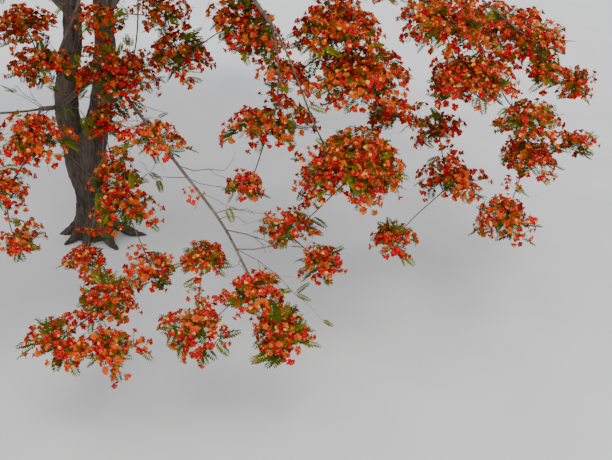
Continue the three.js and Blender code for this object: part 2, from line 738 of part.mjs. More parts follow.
const twoDigits = (number) => String(number).padStart(2, '0');
const masses = [];
allBoughs().forEach((bough, i) => {
  const name = `bough_${twoDigits(i + 1)}`;
  const line = boughLine(bough, stemLines[bough.stem], makeRandom(SEED + i));
  takeLine(name, line);
  let solid = lineSolid(line, BOUGH_SIDES);
  if (bough.from) solid = mainBody(solid.subtract(stemSolids[bough.stem]));
  addPiece(name, toGeometry(solid), limbMaterial);

  rootsAt(line, bough).forEach((start) => {
    const body = { corners: [], triangles: [], knuckles: [] };
    masses.push({ name: `mass_${twoDigits(masses.length + 1)}`, ...start, body, hubs: [] });
  });
});

masses.forEach(makeFirstShoot);
masses.forEach(makeLaterShoots);
masses.forEach((mass, i) => {
  mass.hubs.forEach(({ lobe, knuckle }, k) => {
    makeLobe(mass, lobe, knuckle, makeRandom(SEED * 2 + i * SEEDS_APART + k));
  });
  addPiece(mass.name, closeBody(mass.body), bloomMaterial);
});

export default group;
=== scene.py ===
# %% [markdown]
# # A flame tree in full bloom
# The tree stands on a short, fluted trunk that forks low. Long boughs arch out from its two stems
# like the ribs of an umbrella, and each ends in flat, drooping masses of scarlet and orange blossom
# with feathery green leaves. The solids of the part are a coarse tree of the same shape. Here the
# boughs and masses grow again by the same rule, with the same numbers, and are carried on to
# petals and the blades of leaves. All lengths of the rule are in millimetres, as in the part, and
# Blender's are in metres.

# %% The frame
import math

import bmesh
import bpy
import numpy as np
from mathutils import Matrix, Vector, noise


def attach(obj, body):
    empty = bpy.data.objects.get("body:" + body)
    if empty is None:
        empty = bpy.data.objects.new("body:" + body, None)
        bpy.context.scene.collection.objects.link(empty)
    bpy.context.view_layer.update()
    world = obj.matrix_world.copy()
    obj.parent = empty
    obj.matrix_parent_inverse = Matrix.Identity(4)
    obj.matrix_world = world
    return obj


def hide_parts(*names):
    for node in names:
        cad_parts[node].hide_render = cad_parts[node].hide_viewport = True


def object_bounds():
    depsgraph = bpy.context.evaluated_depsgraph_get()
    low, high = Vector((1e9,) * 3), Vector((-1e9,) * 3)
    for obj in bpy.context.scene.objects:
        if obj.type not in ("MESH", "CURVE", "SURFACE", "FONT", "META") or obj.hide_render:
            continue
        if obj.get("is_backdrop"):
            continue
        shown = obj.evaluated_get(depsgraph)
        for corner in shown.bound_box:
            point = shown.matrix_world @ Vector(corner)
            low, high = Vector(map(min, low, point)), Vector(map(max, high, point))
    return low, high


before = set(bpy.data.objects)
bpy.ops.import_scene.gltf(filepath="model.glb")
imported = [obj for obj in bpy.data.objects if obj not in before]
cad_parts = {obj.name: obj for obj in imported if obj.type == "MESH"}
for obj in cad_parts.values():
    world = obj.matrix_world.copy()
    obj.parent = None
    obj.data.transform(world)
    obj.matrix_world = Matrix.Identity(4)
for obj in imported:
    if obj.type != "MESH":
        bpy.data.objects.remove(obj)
solids_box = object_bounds()
nodes = sorted(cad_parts)
print(len(nodes), "solids, box", solids_box)

# %% [markdown]
# ## Camera, light and floor
# The tree is seen from in front and above: the eye is 6.35 m up and looks down on the crown. A
# lens of 50 mm at that place gives the same perspective. A camera first looks straight down, so it
# is tilted up to 28.5 degrees below the level and then rolled a little round its own axis.

# %% Camera
EYE_PLACE, EYE_DOWN, EYE_ROLL, LENS = (3.412, -11.829, 6.35), 28.5, -2.4, 50


def add_object(name, data):
    made = bpy.data.objects.new(name, data)
    bpy.context.scene.collection.objects.link(made)
    return made


eye = add_object("eye", bpy.data.cameras.new("eye"))
eye.data.lens = LENS
eye.matrix_world = (
    Matrix.Translation(EYE_PLACE)
    @ Matrix.Rotation(math.radians(90 - EYE_DOWN), 4, "X")
    @ Matrix.Rotation(math.radians(EYE_ROLL), 4, "Z")
)
bpy.context.scene.camera = eye
print("eye at", EYE_PLACE, "lens", LENS)


# %% [markdown]
# Soft light flatters petals: a pale world gives even light from all sides. A wide sun high in
# front gives the masses a bright top and a shaded underside, so that they read as domes, and a
# weaker one from the left fills the shade.

# %% Light
def add_sun(name, strength, angle, turn, colour):
    sun = add_object(name, bpy.data.lights.new(name, "SUN"))
    sun.data.energy = strength
    sun.data.angle = math.radians(angle)
    sun.data.color = colour
    sun.rotation_euler = [math.radians(a) for a in turn]


add_sun("main_light", strength=1.9, angle=35, turn=(35, 0, 20), colour=(1, 0.97, 0.92))
add_sun("fill_light", strength=0.9, angle=60, turn=(50, 0, -70), colour=(0.92, 0.96, 1))
world = bpy.data.worlds.new("studio")
bpy.context.scene.world = world
world.use_nodes = True
sky = world.node_tree.nodes["Background"].inputs
sky["Color"].default_value = (0.86, 0.9, 1, 1)
sky["Strength"].default_value = 0.95
print("two suns and a pale sky")


# %% [markdown]
# ## Shader sums written as sums
# A material is a web of nodes. To keep each one readable, a small class stands for one output of
# a node: adding or multiplying two of them makes the Math node and its links. One function makes
# every other kind of node.

# %% Sockets, nodes and materials
class Flow:
    def __init__(self, tree, socket):
        self.tree, self.socket = tree, socket

    def _math(self, operation, other):
        return node(self.tree, "Math", {"operation": operation}, {0: self, 1: other})

    def __add__(self, other):
        return self._math("ADD", other)

    def __mul__(self, other):
        return self._math("MULTIPLY", other)

    __radd__, __rmul__ = __add__, __mul__


def node(tree, kind, settings=None, sockets=None, out=0):
    made = tree.nodes.new("ShaderNode" + kind)
    for name, value in (settings or {}).items():
        if name == "stops":
            for element, (place, colour) in zip(made.color_ramp.elements, value):
                element.position, element.color = place, (*colour, 1)
        else:
            setattr(made, name, value)
    for name, value in (sockets or {}).items():
        if isinstance(value, Flow):
            tree.links.new(value.socket, made.inputs[name])
        else:
            made.inputs[name].default_value = value
    return Flow(tree, made.outputs[out])


def new_material(name, roughness, specular=0.5):
    material = bpy.data.materials.new(name)
    material.use_nodes = True
    surface = material.node_tree.nodes["Principled BSDF"]
    surface.inputs["Roughness"].default_value = roughness
    surface.inputs["Specular IOR Level"].default_value = specular
    return material, material.node_tree, surface


def mottle(tree, scale, detail=3.0, stretch=(1, 1, 1), rough=0.55):
    place = node(tree, "TexCoord", out="Object")
    place = node(tree, "VectorMath", {"operation": "MULTIPLY"}, {0: place, 1: stretch})
    settings = {"Vector": place, "Scale": scale, "Detail": detail, "Roughness": rough}
    return node(tree, "TexNoise", {}, settings)


def colour_from(tree, surface, pattern, dark, light):
    """A ramp that turns a pattern into the base colour: two stops, each a place and a colour"""
    tone = node(tree, "ValToRGB", {"stops": [dark, light]}, {0: pattern})
    tree.links.new(tone.socket, surface.inputs["Base Color"])


# %% [markdown]
# The floor is a plain pale sheet. A trace of mottling keeps it from looking like paper.

# %% Floor
FLOOR_RADIUS = 70


def floor_finish():
    material, tree, surface = new_material("pale_floor", 0.95)
    colour_from(tree, surface, mottle(tree, 0.8), (0.3, (0.70, 0.69, 0.67)), (0.7, (0.76, 0.75, 0.73)))
    return material


def mesh_from(form, name):
    mesh = bpy.data.meshes.new(name)
    form.to_mesh(mesh)
    form.free()
    return mesh


def make_floor():
    form = bmesh.new()
    bmesh.ops.create_circle(form, cap_ends=True, segments=64, radius=FLOOR_RADIUS)
    floor = add_object("floor", mesh_from(form, "floor"))
    floor.data.materials.append(floor_finish())
    floor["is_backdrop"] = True


make_floor()
print("floor of radius", FLOOR_RADIUS)

# %% [markdown]
# ## The growth rule: named sizes
# These are the part's own numbers. A place is polar: a bearing, a distance out from the foot and
# a height. Limbs are lists of points with radii, and a mass is a list of lobes, each with its
# bearing, distance, height, half width and half height. GAP is the crack between two solids, and
# CLEAR the least room between a twig and what it passes.

# %% Sizes of the limbs and masses
GAP, CLEAR = 0.3, 6
LIMBS = {
    "right": {
        "lobe": [[110, 0, -80], [125, 0, 350], [150, 0, 700], [205, 0, 1050], [270, 0, 1500], [400, 0, 1880]],
        "lobe_radii": [270, 245, 232, 228, 205, 178],
        "stem": [[490, 0, 2130], [590, 0, 2500], [690, 0, 3050], [750, -10, 3600], [860, -30, 4250]],
        "stem_radii": [160, 155, 152, 140, 112],
    },
    "left": {
        "lobe": [[20, 10, -80], [35, 15, 350], [45, 20, 700], [10, 20, 1050], [0, 20, 1500], [-8, 20, 1880]],
        "lobe_radii": [250, 195, 160, 170, 175, 176],
        "stem": [[-8, 20, 2130], [35, 25, 2450], [190, 45, 2950], [290, 90, 3500], [270, 170, 4150]],
        "stem_radii": [174, 163, 146, 130, 105],
    },
}
BOUGHS = [
    dict(stem="right", start=2560, way=[[-57, 2250, 3000], [-59, 4020, 2650], [-57.5, 4740, 2200]],
         tip=[-58, 5300, 1900], butt=25, end=12, masses=[
        [[-59.5, 5750, 1950, 250, 250], [-57.8, 5900, 1450, 310, 370]],
        [[-65, 5360, 1500, 330, 310], [-59, 4450, 1700, 250, 210]],
    ]),
    dict(stem="right", start=2290, tip=[-65, 2450, 2600], arch=40, butt=28, end=14, masses=[
        [[-66, 2940, 2300, 240, 160], [-66, 3280, 2000, 320, 260], [-66, 4310, 1600, 280, 210]],
        [[-76, 3260, 1400, 190, 130], [-73, 4330, 1450, 380, 290], [-80, 4960, 1400, 280, 220],
         [-74, 5140, 1350, 300, 220]],
    ]),
    dict(stem="right", start=2800, way=[[-63, 1500, 2920], [-76, 2330, 2960]],
         tip=[-80, 2780, 3100], butt=48, end=24, masses=[
        [[-81, 3140, 2900, 360, 290], [-87, 3560, 2500, 160, 150], [-86, 3590, 1900, 250, 170]],
        [[-98, 4000, 3350, 560, 360], [-112, 4300, 4200, 640, 380]],
    ]),
    dict(stem="left", start=3560, way=[[-57, 1500, 4450], [-65, 2250, 4150]],
         tip=[-73, 2430, 3650], butt=32, end=15, masses=[
        [[-78, 2460, 3500, 350, 270], [-82, 2170, 3900, 330, 260]],
    ]),
    dict(stem="right", start=3300, tip=[-50, 2500, 4250], arch=420, butt=44, end=23, masses=[
        [[-59, 2430, 3230, 420, 400], [-63, 2440, 2750, 240, 160], [-59, 3620, 2780, 400, 240]],
        [[-44, 2610, 3900, 330, 200], [-53, 1570, 3750, 330, 170], [-46, 2910, 3500, 470, 290],
         [-42, 3810, 3900, 440, 330], [-40, 3900, 3650, 250, 220]],
        [[-60, 4000, 5450, 700, 420], [-78, 3500, 5450, 640, 420]],
    ]),
    dict(stem="right", start=3820, tip=[-45, 4450, 4050], arch=800, butt=46, end=20, masses=[
        [[-42, 4080, 2800, 440, 280], [-48, 4120, 2200, 150, 110]],
        [[-40, 5160, 2500, 590, 460], [-46.5, 4660, 1800, 270, 300], [-47, 5260, 1600, 250, 240],
         [-34.5, 5150, 2200, 220, 210]],
    ]),
    dict(stem="right", tip=[-33, 4350, 4650], arch=800, butt=66, end=28, masses=[
        [[-32.5, 4640, 3800, 560, 370], [-34, 4940, 3300, 560, 370], [-38, 4150, 3300, 230, 200]],
        [[-29, 5120, 2800, 290, 210], [-24, 5530, 2500, 290, 210], [-25, 5770, 1900, 360, 280],
         [-37, 5540, 1600, 250, 190]],
        [[-41, 4200, 5500, 720, 420], [-22, 4400, 5400, 720, 420], [-40, 2700, 6000, 720, 420]],
    ]),
    dict(stem="right", start=4060, tip=[-23, 5350, 4400], arch=850, butt=50, end=26, masses=[
        [[-26, 5620, 3800, 480, 370], [-27.3, 5990, 3200, 480, 350]],
        [[-17, 6570, 3400, 210, 160], [-17.5, 6650, 3000, 210, 210], [-15, 7070, 2800, 220, 190]],
        [[-21, 6570, 2600, 440, 260], [-21, 6570, 2100, 400, 190], [-18.5, 7090, 2200, 190, 160],
         [-28.6, 6530, 1700, 310, 300]],
    ]),
]
ROUND = dict(first=3, step=36, count=8, starts=[3450, 3880, 3600, 3750], last_on_right_stem=95,
             out=4500, up=4500, arch=950, butt=56, end=24, masses=[
    [[-9, 6200, 3050, 820, 430], [9, 5850, 3950, 780, 430]],
    [[-9, 4750, 5100, 740, 420], [9, 4450, 5050, 720, 420], [-1, 2950, 5950, 720, 420]],
])
LEADER = dict(stem="left", tip=[110, 350, 5350], arch=0, butt=76, end=28, masses=[
    [[-60, 1300, 6300, 720, 400], [15, 1350, 6400, 720, 400], [0, 150, 6850, 640, 360]],
    [[95, 1500, 6350, 720, 400], [190, 1450, 6350, 720, 400], [255, 1600, 6200, 640, 380]],
])
WANDER = 0.022
SHOOT_STEPS, SHOOT_TAPER, SHOOT_LEAST, ROOT_SHARE = 3, 0.75, 8, [0.8, 0.55, 0.42]
SPRAY_PATCH, SPRAYS_LEAST, SPRAYS_MOST = 330000, 3, 10
BLOSSOM, LEAVES = np.array([180, 170, 85]), np.array([250, 140, 14])
SPRAY_LOBE, SCALE_LEAST, SCALE_MOST, LEAF_SHARE = 500, 0.75, 1.4, 0.4
FORK_RADIUS, TWIG_RADIUS = 14, 7
COARSE_STEPS, FINE_STEPS = 2, 10
SEED, SEEDS_APART = 4157, 8


# %% [markdown]
# ## Chance that repeats
# A tree isn't regular, so the rule draws numbers by chance, but every run has to give the same
# tree. This small generator gives the same numbers here as in the part.

# %% Seeded numbers, places and directions
MASK = 0xFFFFFFFF


def make_random(seed):
    state = [seed & MASK]

    def draw():
        state[0] = (state[0] + 0x6D2B79F5) & MASK
        mixed = state[0]
        mixed = ((mixed ^ (mixed >> 15)) * (mixed | 1)) & MASK
        mixed ^= (mixed + (((mixed ^ (mixed >> 7)) * (mixed | 61)) & MASK)) & MASK
        return ((mixed ^ (mixed >> 14)) & MASK) / 4294967296

    return draw


def around(angle, out, up):
    return np.array([out * math.cos(angle), out * math.sin(angle), up], float)


def polar(bearing, out, up):
    return around(math.radians(bearing), out, up)


def unit(vector):
    return vector / (np.linalg.norm(vector) or 1)


UP = np.array([0.0, 0, 1])


def cross_axes(heading):
    level = np.array([0.0, 1, 0]) if abs(heading[2]) > 0.999 else UP
    across = unit(np.cross(level, heading))
    return across, np.cross(heading, across)


# %% [markdown]
# ## Smooth lines through a few points
# Limbs follow a centripetal Catmull-Rom curve. It passes through every given point and never
# overshoots between two points that lie close together, so limbs stay free of loops.

# %% Curves
def curve_point(points, share):
    last = len(points) - 1
    place = last * share
    i = min(int(place), last - 1)
    weight = place - i
    b, c = points[i], points[i + 1]
    a = points[i - 1] if i > 0 else 2 * b - c
    d = points[i + 2] if i + 2 <= last else 2 * c - b
    gaps = [max(np.linalg.norm(q - p) ** 0.5, 1e-4) for p, q in ((a, b), (b, c), (c, d))]
    start = ((b - a) / gaps[0] - (c - a) / (gaps[0] + gaps[1]) + (c - b) / gaps[1]) * gaps[1]
    end = ((c - b) / gaps[1] - (d - b) / (gaps[1] + gaps[2]) + (d - c) / gaps[2]) * gaps[1]
    square = -3 * b + 3 * c - 2 * start - end
    cube = 2 * b - 2 * c + start + end
    return b + weight * (start + weight * (square + weight * cube))


def limb_line(points, radii, steps, first=0):
    """The points along a limb's curve, its radii there and its directions there"""
    points = [np.array(p, float) for p in points]
    last = len(points) - 1
    line = []
    for i in range((last - first) * steps + 1):
        place = first + i / steps
        share = place / last
        before, after = max(share - 0.0001, 0), min(share + 0.0001, 1)
        along = unit(curve_point(points, after) - curve_point(points, before))
        line.append((curve_point(points, share), np.interp(place, range(len(radii)), radii), along))
    return tuple(zip(*line))


def stem_line(limb):
    radii = limb["lobe_radii"] + limb["stem_radii"]
    return limb_line(limb["lobe"] + limb["stem"], radii, COARSE_STEPS, len(limb["lobe"]))


def point_at(points, height):
    above = next(i for i, point in enumerate(points) if point[2] > height)
    low, high = points[above - 1], points[above]
    return low + (high - low) * (height - low[2]) / (high[2] - low[2])


# %% [markdown]
# ## Boughs
# Each bough leaves its stem at a height and arches to its tip. Three bends between them wander a
# little off the arch, or follow a way of their own. The part samples this curve coarsely, and
# here its bark follows the same curve in finer steps, so it bends smoothly.

# %% Lines of the boughs
BEND_SHARES = (0.22, 0.45, 0.7)


def bough_bends(bough, stem, random):
    tip = polar(*bough["tip"])
    points, _, rise = stem
    start = point_at(points, bough["start"]) if "start" in bough else points[-1] + GAP * rise[-1]
    run = tip - start
    off = 2 * np.linalg.norm(run) * WANDER
    if "way" in bough:
        between = [polar(*place) for place in bough["way"]]
    else:
        between = []
        for share in BEND_SHARES:
            arched = start + run * share + UP * bough["arch"] * 4 * share * (1 - share)
            between.append(arched + off * (np.array([random(), random(), random()]) - 0.5))
    bends = [start, *between, tip]
    if "start" not in bough:
        bends.insert(1, start + rise[-1] * bough["butt"] * 2)
    butt, end = bough["butt"], bough["end"]
    radii = [butt + (end - butt) * (i / (len(bends) - 1)) ** 0.8 for i in range(len(bends))]
    return bends, radii


def all_boughs():
    boughs = list(BOUGHS)
    for i in range(ROUND["count"]):
        bearing = ROUND["first"] + i * ROUND["step"]
        boughs.append(dict(
            stem="right" if bearing < ROUND["last_on_right_stem"] else "left",
            start=ROUND["starts"][i % len(ROUND["starts"])], tip=[bearing, ROUND["out"], ROUND["up"]],
            masses=[[[bearing + turn, *sizes] for turn, *sizes in lobes] for lobes in ROUND["masses"]],
            **{name: ROUND[name] for name in ("arch", "butt", "end")},
        ))
    return [*boughs, LEADER]


stems = {side: stem_line(limb) for side, limb in LIMBS.items()}
boughs = all_boughs()
bough_curves = [bough_bends(b, stems[b["stem"]], make_random(SEED + i)) for i, b in enumerate(boughs)]
print(len(boughs), "boughs")


# %% [markdown]
# ## Room for each thing
# Twigs of a crown don't grow through each other. The rule keeps a list of the straight lengths
# that are taken, and a new twig or spray is grown only where it stays clear of those of the other
# masses. A spray also keeps clear of its own mass's sprays. Measuring one length against all the
# others at once with arrays keeps this quick.

# %% Taken room
class Room:
    def __init__(self, most=20000):
        self.count = 0
        self.starts, self.ends, self.radii = np.zeros((most, 3)), np.zeros((most, 3)), np.zeros(most)
        self.owners, self.sprays = np.zeros(most, int), np.zeros(most, bool)

    def take(self, owner, start, end, radius, is_spray=False):
        i = self.count
        self.starts[i], self.ends[i], self.radii[i], self.owners[i] = start, end, radius, owner
        self.sprays[i] = is_spray
        self.count += 1

    def is_clear(self, owner, start, end, radius, is_spray=False):
        n = self.count
        counts = self.owners[:n] != owner
        if is_spray:
            counts |= self.sprays[:n]
        a, b, r = self.starts[:n][counts], self.ends[:n][counts], self.radii[:n][counts]
        if len(a) == 0:
            return True
        u, v, w = end - start, b - a, start - a
        uu, vv = u @ u, (v * v).sum(1)
        uv, uw, vw = v @ u, w @ u, (v * w).sum(1)
        spread = uu * vv - uv * uv
        safe = spread > 1e-9 * uu * vv
        s = np.where(safe, np.clip((uv * vw - vv * uw) / np.where(safe, spread, 1), 0, 1), 0)
        t = np.clip((uv * s + vw) / vv, 0, 1)
        s = np.clip((uv * t - uw) / uu, 0, 1)
        apart = np.linalg.norm(w + s[:, None] * u - t[:, None] * v, axis=1)
        return bool((apart > radius + r + CLEAR).all())


room = Room()
TREE = -1


def take_limb(points, radii, _):
    for i in range(1, len(points)):
        room.take(TREE, points[i - 1], points[i], max(radii[i - 1], radii[i]))


for stem in stems.values():
    take_limb(*stem)
for bends, radii in bough_curves:
    take_limb(*limb_line(bends, radii, COARSE_STEPS))
print(room.count, "lengths of limb")


# %% [markdown]
# ## Shoots
# From a bough's tip a root for each of its masses leans towards it, and a shoot runs from there to
# the hub of the first lobe. Each further lobe gets a thinner shoot from the nearest hub.

# %% Shoots of the masses
def hub_of(lobe):
    bearing, out, up, _, tall = lobe
    return polar(bearing, out, up - tall * 0.25)


def shoot_curve(start, heading, hub):
    reach = np.linalg.norm(hub - start)
    level = unit((hub - start) * [1, 1, 0])
    return [start, start + heading * reach * 0.35, hub + UP * reach * 0.15 - level * reach * 0.25, hub]


def bezier(ends, share):
    a, b, c, d = ends
    rest = 1 - share
    return rest**3 * a + 3 * rest**2 * share * b + 3 * rest * share**2 * c + share**3 * d


def roots_at(bends, radii, bough):
    points, _, along = limb_line(bends, radii, COARSE_STEPS)
    tip, heading = points[-1], along[-1]
    across, face = cross_axes(heading)
    by_turn = []
    for lobes in bough["masses"]:
        way = hub_of(lobes[0]) - tip
        by_turn.append((math.atan2(way @ face, way @ across), lobes, unit(unit(way) + heading)))
    by_turn.sort(key=lambda entry: entry[0])
    count = len(by_turn)
    off = bough["end"] * 0.64 if count > 1 else 0
    radius = bough["end"] * ROOT_SHARE[count - 1]
    for k, (_, lobes, lean) in enumerate(by_turn):
        angle = by_turn[0][0] + 2 * math.pi * k / count
        tilt = np.linalg.norm(np.cross(heading, lean))
        root = tip + heading * (GAP + radius * tilt)
        root = root + across * off * math.cos(angle) + face * off * math.sin(angle)
        yield dict(lobes=lobes, root=root, heading=lean, radius=radius, shoots=[], hubs=[])


masses = []
for bough, (bends, radii) in zip(boughs, bough_curves):
    masses += roots_at(bends, radii, bough)


def note_shoot(owner, mass, lobe, ends, radius):
    way = [bezier(ends, k / SHOOT_STEPS) for k in range(SHOOT_STEPS + 1)]
    for start, end in zip(way, way[1:]):
        room.take(owner, start, end, radius)
    mass["shoots"].append((ends, radius))
    mass["hubs"].append((lobe, ends[3]))


for owner, mass in enumerate(masses):
    ends = shoot_curve(mass["root"], mass["heading"], hub_of(mass["lobes"][0]))
    note_shoot(owner, mass, mass["lobes"][0], ends, mass["radius"])
for owner, mass in enumerate(masses):
    for i, lobe in enumerate(mass["lobes"][1:]):
        hub = hub_of(lobe)
        nearest = min((place for _, place in mass["hubs"]), key=lambda place: np.linalg.norm(place - hub))
        radius = max(mass["radius"] * SHOOT_TAPER ** (i + 1), SHOOT_LEAST)
        note_shoot(owner, mass, lobe, shoot_curve(nearest, unit(hub - nearest), hub), radius)
print(len(masses), "masses,", sum(len(mass["hubs"]) for mass in masses), "lobes")


# %% [markdown]
# ## Forks and sprays
# Twigs fork at the hub of a lobe, and sprays spread over it by the golden angle, the angle by
# which a plant sets its leaves so that none shades the last. Most sprays lie on the upper side,
# where the light is. Three times as many are tried as are wanted, for some have no room.

# %% Forks and sprays of a lobe
GOLDEN_TURN, GOLDEN_SHARE = 2.39996, 0.618


def skin_of(wide, tall):
    """About the area of a flat, round mass"""
    return 4 * wide * wide + 8 * wide * tall


def forks_of(owner, lobe, hub, count, turn, random):
    _, _, _, wide, tall = lobe
    forks = []
    for k in range(count):
        angle = turn + 2 * math.pi * k / count
        reach = wide * (0.34 + 0.12 * random())
        centre = hub + around(angle, reach, tall * 0.25)
        if room.is_clear(owner, hub, centre, FORK_RADIUS):
            room.take(owner, hub, centre, FORK_RADIUS)
            forks.append(centre)
    return forks


def spray_at(lobe, hub, k, turn, random):
    """The place, heading and size of the k-th spray that a lobe tries"""
    bearing, out, up, wide, tall = lobe
    level = 0.95 - 1.5 * ((k * GOLDEN_SHARE) % 1)
    angle = turn + k * GOLDEN_TURN + (random() - 0.5) * 0.5
    swell = 0.9 + 0.14 * random()
    flat = math.sqrt(1 - level * level) * swell
    is_leaf = random() < LEAF_SHARE
    size = (LEAVES if is_leaf else BLOSSOM) * min(max(wide / SPRAY_LOBE, SCALE_LEAST), SCALE_MOST)
    away = max(wide - size[0] * 0.7, wide * 0.4) * flat
    height = max(tall - size[2] * 0.8, tall * 0.4) * level * swell
    place = polar(bearing, out, up) + around(angle, away, height)
    heading = unit(place - hub)
    heading[2] = heading[2] * 0.5 + (-0.12 if is_leaf else 0.12)
    return place, unit(heading), size, is_leaf


def sprays_of(owner, lobe, hub, random):
    count = min(max(math.floor(skin_of(*lobe[3:]) / SPRAY_PATCH + 0.5), SPRAYS_LEAST), SPRAYS_MOST)
    turn = random() * 2 * math.pi
    forks = forks_of(owner, lobe, hub, max(2, math.floor(count / 2.5 + 0.5)), turn, random)
    sprays = []
    for k in range(count * 3):
        if len(sprays) == count:
            break
        place, heading, size, is_leaf = spray_at(lobe, hub, k, turn, random)
        neck = place - heading * size[0] * 0.92
        knuckle = min([*forks, hub], key=lambda knot: np.linalg.norm(knot - place))
        half, bulk = heading * size[0] * 0.5, size[1] * 0.5
        has_room = room.is_clear(owner, place - half, place + half, bulk, is_spray=True)
        if has_room and room.is_clear(owner, knuckle, neck, TWIG_RADIUS):
            room.take(owner, place - half, place + half, bulk, is_spray=True)
            sprays.append(dict(heading=heading, size=size, is_leaf=is_leaf, neck=neck, knuckle=knuckle))
    return forks, sprays


for owner, mass in enumerate(masses):
    mass["grown"] = []
    for k, (lobe, hub) in enumerate(mass["hubs"]):
        forks, sprays = sprays_of(owner, lobe, hub, make_random(SEED * 2 + owner * SEEDS_APART + k))
        mass["grown"].append((lobe, hub, forks, sprays))
print(sum(len(sprays) for mass in masses for _, _, _, sprays in mass["grown"]), "sprays")


# %% [markdown]
# ## Many copies in one mesh
# A crown has thousands of petals. Each small shape is modelled once, with bmesh operators, and its
# copies are placed by arrays: a place is four rows, the origin and the three axes of the copy.
# Placing a flower's petals inside a cluster's flowers is then one product of arrays, and the rows
# in the order of Z_AS_X lay a shape that runs along X where an upright one would stand.

# %% Small shapes and their places
MM = 0.001
Z_AS_X = [0, 3, 1, 2]


def read_shape(form):
    bmesh.ops.triangulate(form, faces=form.faces[:])
    form.verts.index_update()
    corners = np.array([v.co[:] for v in form.verts])
    faces = np.array([[v.index for v in face.verts] for face in form.faces])
    form.free()
    return corners, faces


def spot(origin, x, y, z):
    return np.array([origin, x, y, z], float)


def within(outer, inner):
    """The places of inner, each seen from every place of outer"""
    placed = np.einsum("mki,nij->nmkj", inner, outer[:, 1:])
    placed[:, :, 0] += outer[:, None, 0]
    return placed.reshape(-1, 4, 3)


def rods(starts, ends, radius):
    """Places that stretch an upright rod of radius 1 and length 1 between pairs of points"""
    starts, ends = np.asarray(starts, float), np.asarray(ends, float)
    along = ends - starts
    steep = np.abs(along[:, 2:]) > 0.9 * np.linalg.norm(along, axis=1, keepdims=True)
    side = np.cross(along, np.where(steep, [1.0, 0, 0], UP))
    side /= np.linalg.norm(side, axis=1, keepdims=True)
    other = np.cross(along, side)
    other /= np.linalg.norm(other, axis=1, keepdims=True)
    radius = np.asarray(radius, float).reshape(-1, 1)
    return np.stack([starts, side * radius, other * radius, along], 1)


def make_piece(name, copies, material, replaced):
    """One mesh of all copies: a list of (shape, places)"""
    points, faces, start = [], [], 0
    for (corners, triangles), places in copies:
        placed = np.einsum("ki,nij->nkj", corners, places[:, 1:]) + places[:, None, 0]
        offsets = start + np.arange(len(places))[:, None, None] * len(corners)
        points.append(placed.reshape(-1, 3))
        faces.append((triangles[None] + offsets).reshape(-1, 3))
        start += len(places) * len(corners)
    points, faces = np.concatenate(points), np.concatenate(faces).astype(np.int32)
    mesh = bpy.data.meshes.new(name)
    mesh.vertices.add(len(points))
    mesh.vertices.foreach_set("co", points.astype(np.float32).ravel())
    mesh.loops.add(faces.size)
    mesh.loops.foreach_set("vertex_index", faces.ravel())
    mesh.polygons.add(len(faces))
    mesh.polygons.foreach_set("loop_start", np.arange(0, faces.size, 3, dtype=np.int32))
    mesh.update()
    mesh.validate()
    finish_piece(name, mesh, material, replaced)


def finish_piece(name, mesh, material, replaced):
    mesh.polygons.foreach_set("use_smooth", np.ones(len(mesh.polygons), bool))
    mesh.materials.append(material)
    piece = add_object(name, mesh)
    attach(piece, "root")
    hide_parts(*replaced)
    print(name, len(mesh.polygons), "faces")


# %% [markdown]
# ## Petals and the other parts of a flower
# A petal of the flame tree is a spoon: a narrow claw that opens into a round, slightly cupped
# blade. It starts as a six-sided disc. The corner nearest the flower's middle is drawn out to the
# claw, and the blade is bent and cupped. A sepal or a stamen is a single pointed face, and a
# blade of a leaf is a kite of two: thousands of them are seen only as a fringe.

# %% Petal, pointed face, kite, rod and bud
def petal_shape():
    radius, middle, bend, cup = 0.46, 0.62, 0.22, 0.9
    form = bmesh.new()
    bmesh.ops.create_circle(form, cap_ends=True, segments=6, radius=radius)
    bmesh.ops.rotate(form, verts=form.verts[:], matrix=Matrix.Rotation(math.pi / 6, 3, "Z"))
    bmesh.ops.translate(form, verts=form.verts[:], vec=(middle, 0, 0))
    claw = min(form.verts, key=lambda v: v.co.x)
    bmesh.ops.translate(form, verts=[claw], vec=(-claw.co.x, -claw.co.y, 0))
    for v in form.verts:
        v.co.z = bend * math.sin(v.co.x * 2.6) + cup * v.co.y**2
    return read_shape(form)


def pointed_face():
    form = bmesh.new()
    bmesh.ops.create_circle(form, cap_ends=True, segments=3, radius=1)
    low = min(v.co.x for v in form.verts)
    for v in form.verts:
        v.co.x, v.co.y = (v.co.x - low) / 1.5, v.co.y / math.sqrt(3)
    return read_shape(form)


def kite(width, droop):
    form = bmesh.new()
    bmesh.ops.create_circle(form, cap_ends=True, segments=4, radius=0.5)
    for v in form.verts:
        v.co.x += 0.5
        v.co.x, v.co.y, v.co.z = v.co.x**0.8, v.co.y * width * 2, -droop * v.co.x**2
    return read_shape(form)


def rod_shape(sides, taper, caps=True):
    form = bmesh.new()
    bmesh.ops.create_cone(form, cap_ends=caps, segments=sides, radius1=1, radius2=taper, depth=1)
    bmesh.ops.translate(form, verts=form.verts[:], vec=(0, 0, 0.5))
    if taper == 0:
        bmesh.ops.remove_doubles(form, verts=form.verts[:], dist=1e-4)
    return read_shape(form)


PETAL, POINT, KITE = petal_shape(), pointed_face(), kite(0.2, 0.12)
ROD, BUD = rod_shape(3, 0.75, False), rod_shape(4, 0)
counts = [len(faces) for _, faces in (PETAL, POINT, KITE, ROD, BUD)]
print("triangles of petal, point, kite, rod and bud:", counts)


# %% [markdown]
# ## Clusters of flowers
# The flowers stand on long stalks in a loose dome, each with five petals, a star of green sepals
# and thin pale stamens. A few differing clusters are made, and each copy of one is turned and
# scaled, so no two look alike. A flower has one colour with now and then a petal of another, and
# on some flowers the upper petal is cream, as on the real ones.

